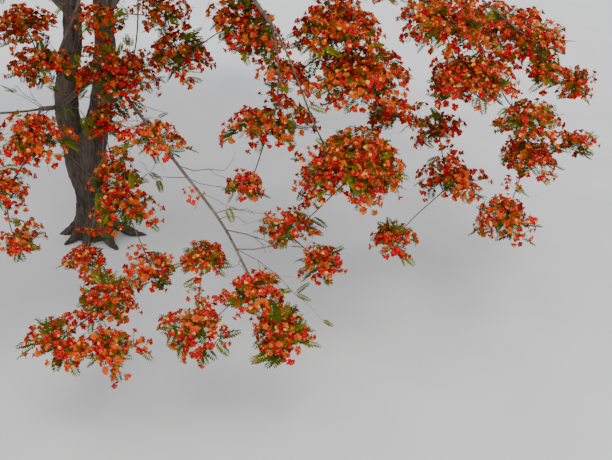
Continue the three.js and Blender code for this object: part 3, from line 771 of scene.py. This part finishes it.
# %% Clusters
chance = np.random.default_rng(SEED)
COLOURS = ("scarlet", "orange", "crimson", "cream")
OWN_COLOUR, CREAM_FLOWERS = 0.8, 0.35
PETALS, STAMENS, BUDS = 5, 4, 3
PETAL_LENGTH, SEPAL_LENGTH, STAMEN_LENGTH, STAMEN_WIDTH, BUD_LENGTH = 0.046, 0.027, 0.05, 0.0048, 0.0095
CLUSTER_REACH, CLUSTER_TALL, STALK_RADIUS = 0.15, 0.1, 0.0035
BETWEEN_PETALS, ANY_TURN = 0.6, 6.3


def turned(angle):
    c, s = math.cos(angle), math.sin(angle)
    return np.array([[c, s, 0], [-s, c, 0], [0, 0, 1.0]])


def facing(origin, axis, turn, size):
    """The place of a copy whose Z looks along an axis"""
    z = unit(axis)
    across, face = cross_axes(z)
    x = across * math.cos(turn) + face * math.sin(turn)
    return spot(origin, x * size, np.cross(z, x) * size, z * size)


def add_flower(parts, flower, colour, cream):
    def grow(kind, *place):
        parts[kind].append(within(flower[None], spot(*place)[None])[0])

    for k in range(PETALS):
        swing = turned(2 * math.pi * k / PETALS + chance.uniform(-0.2, 0.2))
        lift = chance.uniform(0.05, 0.8)
        length = PETAL_LENGTH * chance.uniform(0.85, 1.12)
        outward = swing[0] * math.cos(lift) + swing[2] * math.sin(lift)
        face = swing[2] * math.cos(lift) - swing[0] * math.sin(lift)
        if cream and k == 0:
            kind = "cream"
        else:
            kind = colour if chance.random() < OWN_COLOUR else COLOURS[chance.integers(2)]
        grow(kind, (0, 0, 0), outward * length, swing[1] * length * 0.95, face * length)
        side = turned(BETWEEN_PETALS) @ swing
        low = unit(side[0] * 0.9 - side[2] * 0.4) * SEPAL_LENGTH
        grow("sepals", (0, 0, -0.002), low, side[1] * SEPAL_LENGTH * 0.5, np.cross(low, side[1]))
    for k in range(STAMENS):
        swing = turned(2 * math.pi * k / STAMENS + chance.uniform(-0.5, 0.5))
        up = unit(swing[0] * chance.uniform(0.2, 0.8) + swing[2]) * STAMEN_LENGTH
        grow("stamens", (0, 0, 0), up, swing[1] * STAMEN_WIDTH, np.cross(up, swing[1]))


def make_cluster(flower_count, shares):
    parts = {name: [] for name in (*COLOURS, "sepals", "stamens", "buds")}
    heads = []
    for i in range(flower_count):
        r = math.sqrt((i + 0.4) / flower_count)
        angle = i * GOLDEN_TURN + chance.uniform(-0.4, 0.4)
        out = around(angle, r, 0)
        head = out * CLUSTER_REACH + UP * CLUSTER_TALL * (1 - 0.6 * r * r) + chance.uniform(-0.028, 0.028, 3)
        axis = out + UP * 0.75 + chance.uniform(-0.4, 0.4, 3)
        colour = COLOURS[chance.choice(3, p=shares)]
        flower = facing(head, axis, chance.uniform(0, ANY_TURN), 1.0)
        add_flower(parts, flower, colour, chance.random() < CREAM_FLOWERS)
        heads.append(head)
    for i in range(BUDS):
        angle = i * GOLDEN_TURN
        r = chance.uniform(0.01, 0.06)
        head = around(angle, r, CLUSTER_TALL + chance.uniform(0, 0.045))
        parts["buds"].append(facing(head, head, 0, BUD_LENGTH))
        heads.append(head)
    made = {name: np.array(places) for name, places in parts.items()}
    heads = np.array(heads)
    made["stalks"] = rods(np.zeros_like(heads), heads, STALK_RADIUS)[:, Z_AS_X]
    return made


COLOUR_SHARES = ([0.62, 0.14, 0.24], [0.2, 0.68, 0.12], [0.4, 0.42, 0.18], [0.5, 0.32, 0.18])
CLUSTERS = [make_cluster(int(chance.integers(9, 12)), shares) for shares in COLOUR_SHARES for _ in range(3)]
print(len(CLUSTERS), "kinds of cluster")


# %% [markdown]
# ## Feathery leaves
# A leaf is twice divided: some ten pairs of side ribs, each with a double row of tiny leaflets. At
# this distance a side rib with its leaflets reads as one narrow blade, so that is what is
# modelled. The blades lean forwards and the whole leaf droops to its tip. A leaf is 1 long here.

# %% Leaves
RIB_RADIUS, BLADE_LENGTH, RISE = 0.008, 0.27, 0.1


def make_leaf(pairs, droop, bend):
    shares = np.linspace(0, 1, 3)
    points = np.stack([shares, bend * shares**2, RISE * shares - droop * shares**2], 1)
    blades = []
    for i in range(pairs):
        t = 0.14 + 0.86 * (i + 0.5) / pairs
        at = np.array([np.interp(t, shares, points[:, c]) for c in range(3)])
        ahead = unit(np.array([1, 2 * bend * t, RISE - 2 * droop * t]))
        span = BLADE_LENGTH * math.sin(math.pi * (0.12 + 0.8 * t)) ** 0.6
        tilt = 0.95 + 0.25 * (1 - t)
        for side in (1, -1):
            aside = np.cross(UP, ahead) * side
            out = unit(ahead * math.cos(tilt) + aside * math.sin(tilt) + UP * chance.uniform(-0.2, 0.12))
            cross = unit(np.cross(UP, out))
            blades.append(spot(at, out * span, cross * span, np.cross(out, cross) * span))
    return {"rib": rods(points[:-1], points[1:], RIB_RADIUS), "blades": np.array(blades)}


LEAF_SHAPES = ((9, 0.16, 0.1), (10, 0.3, -0.12), (9, 0.08, -0.06), (10, 0.22, 0.2))
LEAF_KINDS = [make_leaf(*shape) for shape in LEAF_SHAPES]
print(len(LEAF_KINDS), "kinds of leaf")


# %% [markdown]
# ## Places of clusters, leaves and twigs
# The crown is first only lists of places: where a cluster stands and how it is turned, where a
# leaf springs from and where a twig runs. A side twig of a bough is crooked and may fork, and half
# of the ends are bare.

# %% Lists of places
class Dressing:
    """patch is the area for one cluster in square mm, size how much larger than the front's the
    clusters and leaves are, spill how far past its lobe a cluster may stand in mm, and depths says
    at what shares of the way out to a cluster its leaves spring"""
    def __init__(self, patch=112000, size=1.0, spill=-70, depths=(1, 0.9, 0.6)):
        self.patch, self.size, self.spill, self.depths = patch, size, spill, depths
        self.clusters = [[] for _ in CLUSTERS]
        self.leaves = {shade: [[] for _ in LEAF_KINDS] for shade in ("fresh", "deep")}
        self.twigs = []

    def twig(self, start, end, radius, sag=0.0):
        middle = (start + end) / 2 - UP * sag
        self.twigs += [(a * MM, b * MM, radius * MM) for a, b in ((start, middle), (middle, end))]

    def leaf(self, at, heading, length, fresh=0.6):
        place = facing(at * MM, heading, chance.uniform(-0.4, 0.4), length)[Z_AS_X]
        shade = "fresh" if chance.random() < fresh else "deep"
        self.leaves[shade][chance.integers(len(LEAF_KINDS))].append(place)

    def sprig(self, start, way, reach, radius, forks, bare=False):
        """A crooked side twig that forks, some with leaves or a small cluster at the end"""
        for _ in range(3):
            way = unit(way + chance.normal(0, 0.22, 3) - UP * 0.05)
            end = start + way * reach / 3
            self.twig(start, end, radius)
            if forks and chance.random() < 0.6:
                fork = unit(way + chance.normal(0, 0.6, 3))
                self.sprig(end, fork, reach * 0.5, radius * 0.7, forks - 1, bare)
            start, radius = end, radius * 0.85
        luck = 1 if bare else chance.random()
        if luck < 0.4:
            for _ in range(3):
                self.leaf(start, way + chance.normal(0, 0.6, 3), chance.uniform(0.13, 0.2))
        elif luck < 0.5:
            self.cluster(start, way * 0.5 + UP, 0.65)

    def cluster(self, at, axis, size):
        kind = self.clusters[chance.integers(len(CLUSTERS))]
        kind.append(facing(at * MM, axis, chance.uniform(0, ANY_TURN), size))


# %% [markdown]
# ## Pads of clusters
# The part has a few large sprays on each lobe. Here the same rule is carried on at a finer
# spacing: the hub and each fork carry a pad of clusters, set over its dome by the golden angle. A
# cluster that would stand far outside its lobe is drawn in, not always to the same line, so the
# edge stays ragged. A fine twig holds it from the nearest knot, and leaves spring from under it.

# %% Pads
EDGE, TOP, HANG = 45, 35, 60
FINE_RADIUS, FINE_SAG = 3, 15
LEAF_LENGTHS = (0.17, 0.26)


def kept_in(place, hub, lobe, spill):
    """A place drawn in until its blossom stays about within its lobe"""
    wide, tall = lobe[3:]
    limits = np.array([wide + spill, wide + spill, tall + spill * 0.35])
    over = np.linalg.norm((place - hub) / limits) / chance.uniform(0.72, 1.45)
    return place if over <= 1 else hub + (place - hub) / over


def dress_pad(made, lobe, hub, centre, share, knots):
    """Clusters and leaves over one small dome"""
    wide, tall = lobe[3] * share[0], lobe[4] * share[1]
    size = made.size
    reach = np.array([wide - EDGE * size, wide - EDGE * size, tall - TOP * size])
    count = max(2, round(skin_of(wide, tall) / made.patch))
    turn = chance.uniform(0, ANY_TURN)
    for k in range(count):
        level = 0.95 - 1.45 * (k + chance.uniform(0.2, 0.8)) / count
        angle = turn + k * GOLDEN_TURN + chance.uniform(-0.4, 0.4)
        flat = math.sqrt(1 - level * level)
        way = around(angle, flat, level)
        base = centre + reach * way * chance.uniform(0.75, 1.2) - UP * HANG
        base = kept_in(base, hub, lobe, made.spill)
        knot = knots[np.argmin(np.linalg.norm(knots - base, axis=1))]
        made.twig(knot, base, FINE_RADIUS, chance.uniform(0, FINE_SAG))
        axis = way * [0.8, 0.8, 0.3] + UP * 0.65 + chance.uniform(-0.2, 0.2, 3)
        made.cluster(base, axis, size * chance.uniform(0.85, 1.15))
        for depth in made.depths:
            heading = way * [0.4, 0.4, 0] + chance.uniform(-0.8, 0.8, 3) * [1, 1, 0.4]
            at = centre + (base - centre) * depth - UP * 10
            made.leaf(at, heading, size * chance.uniform(*LEAF_LENGTHS), 0.65 if depth > 0.8 else 0.15)


# %% [markdown]
# ## Lobes, strays and side twigs
# The pads of a lobe overlap, so its outline has bays and lumps. A spray of leaves becomes a small
# fan, and a few strays along the shoots join one lobe to the next.

# %% Lobes and boughs dressed
FAN = 5
STRAY_SHARES, STRAY_LUCK = (0.45, 0.65, 0.85), 0.6


def dress_lobe(made, lobe, hub, forks, sprays):
    tall = lobe[4]
    for fork in forks:
        made.twig(hub, fork, 8, 8)
    for spray in sprays:
        made.twig(spray["knuckle"], spray["neck"], 6, 10)
        if spray["is_leaf"]:
            across, _ = cross_axes(spray["heading"])
            for i in range(FAN):
                way = spray["heading"] + across * (i / 2 - 1) * 1.1 + UP * chance.uniform(-0.15, 0.25)
                made.leaf(spray["neck"], way, spray["size"][0] * MM * chance.uniform(1.05, 1.35))
    knots = np.array([hub, *forks, *(spray["neck"] for spray in sprays)])
    dress_pad(made, lobe, hub, hub + UP * tall * 0.3, (0.5, 0.6), knots)
    for fork in forks:
        centre = fork + UP * tall * chance.uniform(-0.3, 0.2)
        wider = chance.uniform(0.52, 0.72)
        dress_pad(made, lobe, hub, centre, (wider, wider * 1.15), knots)


def dress_shoot(made, ends):
    """Strays that join one lobe to the next"""
    size = made.size
    for share in STRAY_SHARES:
        if chance.random() < STRAY_LUCK:
            start = bezier(ends, share)
            end = start + chance.uniform(-1, 1, 3) * [110, 110, 60] + UP * 40
            made.twig(start, end, FINE_RADIUS)
            made.cluster(end, UP + chance.uniform(-0.4, 0.4, 3), size * chance.uniform(0.75, 1))
            for _ in range(2):
                made.leaf(start, chance.uniform(-1, 1, 3) * [1, 1, 0.3], size * chance.uniform(*LEAF_LENGTHS))


def bough_steps(bends, radii):
    """Points and directions along a bough, and how far along it each of its steps ends"""
    points, _, along = limb_line(bends, radii, FINE_STEPS)
    return points, along, np.linalg.norm(np.diff(points, axis=0), axis=1).cumsum()


def dress_bough(made, bends, radii, spacing):
    points, along, lengths = bough_steps(bends, radii)
    at = lengths[-1] * 0.2
    while at < lengths[-1]:
        k = int(np.searchsorted(lengths, at))
        way = unit(along[k] * 0.8 + unit(chance.normal(0, 1, 3)))
        made.sprig(points[k], way, chance.uniform(300, 850), 5.5, 1)
        at += spacing * chance.uniform(0.6, 1.4)


# %% [markdown]
# ## Finishes of the blossom
# Petals and leaves are matt. Each colour of petal is its own piece with a plain base colour, and
# only a faint mottling in place plays over it. The same goes for the fresh and the deep green of
# the leaves.

# %% Petal and leaf finishes
def plant_finish(name, dark, light, roughness=0.6, scale=30):
    material, tree, surface = new_material(name, roughness, 0.06)
    colour_from(tree, surface, mottle(tree, scale), (0.36, dark), (0.62, light))
    return material


LOOKS = {
    "scarlet_petals": ((0.4, 0.002, 0.008), (0.58, 0.006, 0.014)),
    "orange_petals": ((0.52, 0.045, 0.006), (0.66, 0.11, 0.014)),
    "crimson_petals": ((0.3, 0.002, 0.006), (0.46, 0.004, 0.011)),
    "cream_petals": ((0.68, 0.28, 0.03), (0.78, 0.48, 0.12)),
    "sepals_and_stalks": ((0.18, 0.15, 0.004), (0.34, 0.27, 0.012)),
    "stamens": ((0.72, 0.36, 0.07), (0.84, 0.58, 0.2)),
    "fresh_leaves": ((0.1, 0.125, 0.003), (0.19, 0.21, 0.008), 0.6, 12),
    "deep_leaves": ((0.03, 0.048, 0.002), (0.07, 0.09, 0.004), 0.6, 12),
    "twig_bark": ((0.09, 0.07, 0.05), (0.2, 0.16, 0.12), 0.85),
}
FINISHES = {name: plant_finish(name, *look) for name, look in LOOKS.items()}
print(len(FINISHES), "finishes")


# %% [markdown]
# ## The whole crown
# The front is dressed densely. The sides, the back and the top are guessed, so their clusters and
# leaves are fewer and larger. What has one finish is one piece in each of the two parts.

# %% Blossom, leaves and twigs
SIDE_TWIG_SPACING = 290
FLOWER_PIECES = {
    **{f"petals_{colour}": (f"{colour}_petals", {colour: PETAL}) for colour in COLOURS},
    "sepals": ("sepals_and_stalks", {"sepals": POINT, "buds": BUD, "stalks": POINT}),
    "stamens": ("stamens", {"stamens": POINT}),
}


def make_crown(part, mass_list, curves, made, replaced):
    for bends, radii in curves:
        dress_bough(made, bends, radii, SIDE_TWIG_SPACING * made.size * made.size)
    for mass in mass_list:
        for grown in mass["grown"]:
            dress_lobe(made, *grown)
        for ends, _ in mass["shoots"]:
            dress_shoot(made, ends)
    placed = [np.array(places).reshape(-1, 4, 3) for places in made.clusters]
    print(part, sum(len(places) for places in placed), "clusters")

    def spread(name):
        return [within(places, kind[name]) for places, kind in zip(placed, CLUSTERS) if len(kind[name])]

    for name, (finish, kinds) in FLOWER_PIECES.items():
        copies = [(shape, places) for kind, shape in kinds.items() for places in spread(kind)]
        make_piece(f"{name}_{part}", copies, FINISHES[finish], replaced)
    for shade, by_kind in made.leaves.items():
        copies = []
        for places, kind in zip(by_kind, LEAF_KINDS):
            places = np.array(places).reshape(-1, 4, 3)
            copies += [(KITE, within(places, kind["blades"])), (ROD, within(places, kind["rib"]))]
        make_piece(f"leaves_{shade}_{part}", copies, FINISHES[f"{shade}_leaves"], replaced)
    shoots = []
    for mass in mass_list:
        for ends, radius in mass["shoots"]:
            way = [bezier(ends, k / FINE_STEPS) * MM for k in range(FINE_STEPS + 1)]
            thick = np.linspace(radius, radius * 0.7, FINE_STEPS) * MM
            shoots.append(rods(way[:-1], way[1:], thick))
    copies = [(ROD, rods(*zip(*made.twigs))), (rod_shape(6, 1), np.concatenate(shoots))]
    make_piece(f"twigs_{part}", copies, FINISHES["twig_bark"], replaced)


mass_names = [name for name in nodes if name.startswith("mass_")]
front = sum(len(bough["masses"]) for bough in BOUGHS)
make_crown("front", masses[:front], bough_curves[:len(BOUGHS)], Dressing(), mass_names[:front])
sparse = Dressing(patch=370000, size=1.3, spill=90, depths=(1, 0.7))
make_crown("round", masses[front:], bough_curves[len(BOUGHS):], sparse, mass_names[front:])


# %% [markdown]
# Some long bare twigs show one by one against the shade: beside the long bare limb, and in front
# of the trunk. A seeded rule wouldn't put them there, so each is given by its bough, its share of
# the way along it, its heading and its reach. From there on it bends and forks by the same rule
# as the others.

# %% Bare side twigs
SIDE_TWIGS = [
    (0, 0.73, (0.9, 0, -0.1), 520), (0, 0.76, (-1, 0, 0.1), 400), (0, 0.86, (0.9, 0.2, -0.1), 420),
    (0, 0.9, (0.95, 0, -0.2), 620), (0, 0.95, (0.9, 0, -0.4), 560), (0, 0.97, (-0.3, 0, -0.9), 260),
    (2, 0.84, (0.4, -0.3, -0.75), 820), (2, 0.95, (-0.5, -0.2, 0.5), 420), (2, 0.8, (-0.9, -0.2, 0.1), 520),
]
bare = Dressing()
for bough, share, way, reach in SIDE_TWIGS:
    points, _, lengths = bough_steps(*bough_curves[bough])
    start = points[int(np.searchsorted(lengths, lengths[-1] * share))]
    bare.sprig(start, unit(np.array(way)), reach, 2 + reach / 100, 2, bare=True)
copies = [(ROD, rods(*zip(*bare.twigs)))]
make_piece("side_twigs", copies, FINISHES["twig_bark"], ["bough_01", "bough_03"])


# %% [markdown]
# ## Trunk and boughs with their bark
# The trunk is two limbs that grew into one, with a flute between them and a flare of roots. Its
# solid already has that form, so a copy of it is fused with the stems, made even by a remesh and
# then given relief: long shallow folds that run up the wood, and lumps where old limbs fell.

# %% Relief of the trunk
VOXEL, FOLDS, LUMPS, FOOT = 0.022, 0.012, 0.02, 0.04


def relief(place, scale, stretch, seed):
    at = Vector((place[0] * scale, place[1] * scale, place[2] * scale * stretch + seed))
    return noise.fractal(at, 0.7, 2.1, 4)


def joined_solids(names):
    form = bmesh.new()
    for name in names:
        form.from_mesh(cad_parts[name].data)
    bmesh.ops.remove_doubles(form, verts=form.verts[:], dist=1e-5)
    return mesh_from(form, "joined")


def remeshed(mesh):
    holder = add_object("holder", mesh)
    fuse = holder.modifiers.new("fuse", "REMESH")
    fuse.mode, fuse.voxel_size = "VOXEL", VOXEL
    smooth = holder.modifiers.new("smooth", "SMOOTH")
    smooth.factor, smooth.iterations = 0.5, 6
    bpy.context.view_layer.update()
    made = bpy.data.meshes.new_from_object(holder.evaluated_get(bpy.context.evaluated_depsgraph_get()))
    bpy.data.objects.remove(holder)
    return made


def roughen(mesh):
    """Bark pushed in and out, but not at the foot, which stays flat on the ground"""
    places, normals = np.zeros((2, len(mesh.vertices), 3), np.float32)
    mesh.vertices.foreach_get("co", places.ravel())
    mesh.vertex_normals.foreach_get("vector", normals.ravel())
    push = np.array([relief(p, 14, 0.22, 3.1) * FOLDS + relief(p, 5, 0.6, 8.7) * LUMPS for p in places])
    push *= np.clip(places[:, 2] / FOOT, 0, 1)
    mesh.vertices.foreach_set("co", (places + normals * push[:, None]).astype(np.float32).ravel())
    mesh.update()


# %% [markdown]
# Bark has a fine grain that runs up the wood, over larger paler and darker patches, and the grain
# is its bump as well. The trunk is darker than the boughs, which is painted shade of the crown over
# it, and its ridges are deeper.

# %% Bark
def bark_finish(name, dark, light, ridge):
    material, tree, surface = new_material(name, 0.9, 0.2)
    grain = mottle(tree, 26, 6.0, (1, 1, 0.25), 0.62)
    patches = mottle(tree, 3.2, 4.0, (1, 1, 0.6))
    colour_from(tree, surface, grain * 0.6 + patches * 0.4, (0.38, dark), (0.6, light))
    bump = node(tree, "Bump", {}, {"Strength": 0.7, "Distance": ridge, "Height": grain})
    tree.links.new(bump.socket, surface.inputs["Normal"])
    return material


# The trunk's darker colours are painted shade: the shade of the crown over the trunk, set in its bark.
SHADED_TRUNK_BARK = bark_finish("shaded_trunk_bark", (0.024, 0.018, 0.013), (0.1, 0.076, 0.056), 0.02)
LIMB_BARK = bark_finish("limb_bark", (0.065, 0.05, 0.038), (0.2, 0.16, 0.125), 0.008)
print(SHADED_TRUNK_BARK.name, LIMB_BARK.name)

# %% Trunk and stems with their bark
trunk_nodes = ["trunk", "stem_left", "stem_right"]
trunk_mesh = remeshed(joined_solids(trunk_nodes))
trunk_mesh.name = "trunk_wood"
roughen(trunk_mesh)
finish_piece("trunk_wood", trunk_mesh, SHADED_TRUNK_BARK, trunk_nodes)


# %% [markdown]
# A bough is a chain of rings along its curve. Each ring is a circle from a bmesh operator, and the
# operator that bridges edge loops joins each to the next. The rings vary a little in radius, as
# wood does, and thicken where the bough leaves its stem.

# %% Boughs
BOUGH_SIDES = 10
SWELL, SWELL_SCALE, COLLAR, COLLAR_STEPS = 0.07, 0.006, 0.45, 3


def add_limb(form, points, radii, along):
    rings = []
    side = Vector((1, 0, 0)) if abs(along[0][0]) < 0.8 else Vector((0, 1, 0))
    for point, radius, heading in zip(points, radii, along):
        heading = Vector(heading)
        side = (side - heading * side.dot(heading)).normalized()
        turn = Matrix((side, heading.cross(side), heading)).transposed().to_4x4()
        made = bmesh.ops.create_circle(form, segments=BOUGH_SIDES, radius=radius * MM,
                                       matrix=Matrix.Translation(Vector(point) * MM) @ turn)
        rings.append(list({e for v in made["verts"] for e in v.link_edges}))
    for near, far in zip(rings, rings[1:]):
        bmesh.ops.bridge_loops(form, edges=near + far)
    for ring in (rings[0], rings[-1]):
        bmesh.ops.contextual_create(form, geom=ring)


form = bmesh.new()
for i, (bends, radii) in enumerate(bough_curves):
    points, plain, along = limb_line(bends, radii, FINE_STEPS)
    swell = [1 + SWELL * noise.noise(Vector(p) * SWELL_SCALE + Vector((i, 0, 0))) for p in points]
    collar = [1 + COLLAR * math.exp(-k / COLLAR_STEPS) for k in range(len(points))]
    add_limb(form, points, [r * a * b for r, a, b in zip(plain, swell, collar)], along)
bmesh.ops.recalc_face_normals(form, faces=form.faces[:])
bough_names = [name for name in nodes if name.startswith("bough_")]
finish_piece("bough_wood", mesh_from(form, "bough_wood"), LIMB_BARK, bough_names)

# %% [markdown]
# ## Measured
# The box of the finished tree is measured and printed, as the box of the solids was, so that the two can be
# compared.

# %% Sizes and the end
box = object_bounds()
[[[float(v) for v in corner] for corner in pair] for pair in (solids_box, box)]
print("box of the tree", box)
